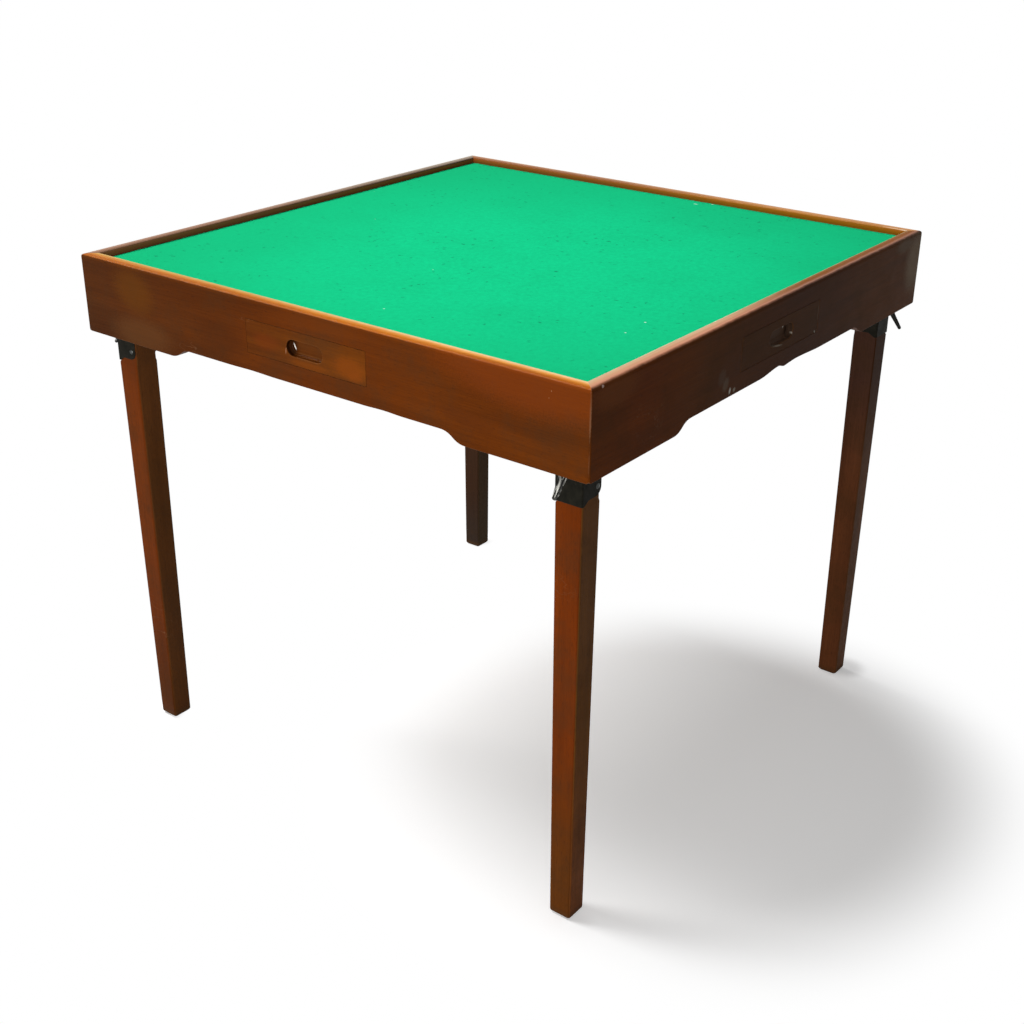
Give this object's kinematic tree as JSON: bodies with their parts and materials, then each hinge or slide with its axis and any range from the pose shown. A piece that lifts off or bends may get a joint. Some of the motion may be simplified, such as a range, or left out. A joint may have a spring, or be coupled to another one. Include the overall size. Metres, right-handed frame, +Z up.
{
  "type": "folding games table",
  "caption": "Square folding games table: baize top inside a raised mahogany rim, a shallow drawer with a finger groove in each side, tapered folding legs with steel latch levers.",
  "frame": {"origin": "on the floor under the middle of the table", "axes": "+Z up, -Y the front side, +X the right side; each side and corner repeats by a quarter turn about Z"},
  "size_m": [0.806, 0.806, 0.7],
  "materials": {
    "mahogany": "reddish-brown varnished mahogany, glossy and worn",
    "drawer_mahogany": "slightly lighter varnished mahogany",
    "plain_wood": "plain unvarnished softwood",
    "panel_wood": "unvarnished plywood",
    "baize": "matte green baize",
    "black_steel": "worn black paint on steel",
    "bright_steel": "worn bare steel",
    "spring_steel": "dark spring steel"
  },
  "bodies": {
    "table_frame": {"top_panel": "panel_wood", "playing_cloth": "baize", "front_apron": "mahogany", "right_apron": "mahogany", "back_apron": "mahogany", "left_apron": "mahogany", "front_drawer_guides": "plain_wood", "right_drawer_guides": "plain_wood", "back_drawer_guides": "plain_wood", "left_drawer_guides": "plain_wood", "corner_blocks": "plain_wood", "bracket_screws": "bright_steel", "front_right_hinge_bracket": "black_steel", "front_right_hinge_pin": "bright_steel", "front_right_lever_pin": "bright_steel", "front_right_lever_spring": "spring_steel", "back_right_hinge_bracket": "black_steel", "back_right_hinge_pin": "bright_steel", "back_right_lever_pin": "bright_steel", "back_right_lever_spring": "spring_steel", "back_left_hinge_bracket": "black_steel", "back_left_hinge_pin": "bright_steel", "back_left_lever_pin": "bright_steel", "back_left_lever_spring": "spring_steel", "front_left_hinge_bracket": "black_steel", "front_left_hinge_pin": "bright_steel", "front_left_lever_pin": "bright_steel", "front_left_lever_spring": "spring_steel"},
    "front_drawer": {"front_drawer_front": "drawer_mahogany", "front_drawer_walls": "plain_wood", "front_drawer_bottom": "panel_wood"},
    "right_drawer": {"right_drawer_front": "drawer_mahogany", "right_drawer_walls": "plain_wood", "right_drawer_bottom": "panel_wood"},
    "back_drawer": {"back_drawer_front": "drawer_mahogany", "back_drawer_walls": "plain_wood", "back_drawer_bottom": "panel_wood"},
    "left_drawer": {"left_drawer_front": "drawer_mahogany", "left_drawer_walls": "plain_wood", "left_drawer_bottom": "panel_wood"},
    "front_right_leg_body": {"front_right_leg": "mahogany", "front_right_leg_sheath": "black_steel", "front_right_sheath_rivet": "bright_steel"},
    "front_right_lever_body": {"front_right_release_lever": "bright_steel"},
    "back_right_leg_body": {"back_right_leg": "mahogany", "back_right_leg_sheath": "black_steel", "back_right_sheath_rivet": "bright_steel"},
    "back_right_lever_body": {"back_right_release_lever": "bright_steel"},
    "back_left_leg_body": {"back_left_leg": "mahogany", "back_left_leg_sheath": "black_steel", "back_left_sheath_rivet": "bright_steel"},
    "back_left_lever_body": {"back_left_release_lever": "bright_steel"},
    "front_left_leg_body": {"front_left_leg": "mahogany", "front_left_leg_sheath": "black_steel", "front_left_sheath_rivet": "bright_steel"},
    "front_left_lever_body": {"front_left_release_lever": "bright_steel"}
  },
  "joints": [
    {"name": "front_right_leg_fold", "type": "hinge", "parent": "table_frame", "child": "front_right_leg_body", "pos_m": [0.3582, -0.3582, 0.6153], "axis": [1, 0, 0], "range_deg": [0, 90]},
    {"name": "back_right_leg_fold", "type": "hinge", "parent": "table_frame", "child": "back_right_leg_body", "pos_m": [0.3582, 0.3582, 0.6153], "axis": [0, 1, 0], "range_deg": [0, 90]},
    {"name": "back_left_leg_fold", "type": "hinge", "parent": "table_frame", "child": "back_left_leg_body", "pos_m": [-0.3582, 0.3582, 0.6153], "axis": [-1, 0, 0], "range_deg": [0, 90]},
    {"name": "front_left_leg_fold", "type": "hinge", "parent": "table_frame", "child": "front_left_leg_body", "pos_m": [-0.3582, -0.3582, 0.6153], "axis": [0, -1, 0], "range_deg": [0, 90]},
    {"name": "front_right_lever_press", "type": "hinge", "parent": "table_frame", "child": "front_right_lever_body", "pos_m": [0.3582, -0.37925, 0.6018], "axis": [1, 0, 0], "range_deg": [0, 9], "stiffness_Nm_per_rad": 2, "deforming": ["front_right_lever_spring"]},
    {"name": "back_right_lever_press", "type": "hinge", "parent": "table_frame", "child": "back_right_lever_body", "pos_m": [0.37925, 0.3582, 0.6018], "axis": [0, 1, 0], "range_deg": [0, 9], "stiffness_Nm_per_rad": 2, "deforming": ["back_right_lever_spring"]},
    {"name": "back_left_lever_press", "type": "hinge", "parent": "table_frame", "child": "back_left_lever_body", "pos_m": [-0.3582, 0.37925, 0.6018], "axis": [-1, 0, 0], "range_deg": [0, 9], "stiffness_Nm_per_rad": 2, "deforming": ["back_left_lever_spring"]},
    {"name": "front_left_lever_press", "type": "hinge", "parent": "table_frame", "child": "front_left_lever_body", "pos_m": [-0.37925, -0.3582, 0.6018], "axis": [0, -1, 0], "range_deg": [0, 9], "stiffness_Nm_per_rad": 2, "deforming": ["front_left_lever_spring"]},
    {"name": "front_drawer_slide", "type": "slide", "parent": "table_frame", "child": "front_drawer", "axis": [0, -1, 0], "range_m": [0, 0.1]},
    {"name": "right_drawer_slide", "type": "slide", "parent": "table_frame", "child": "right_drawer", "axis": [1, 0, 0], "range_m": [0, 0.1]},
    {"name": "back_drawer_slide", "type": "slide", "parent": "table_frame", "child": "back_drawer", "axis": [0, 1, 0], "range_m": [0, 0.1]},
    {"name": "left_drawer_slide", "type": "slide", "parent": "table_frame", "child": "left_drawer", "axis": [-1, 0, 0], "range_m": [0, 0.1]}
  ]
}
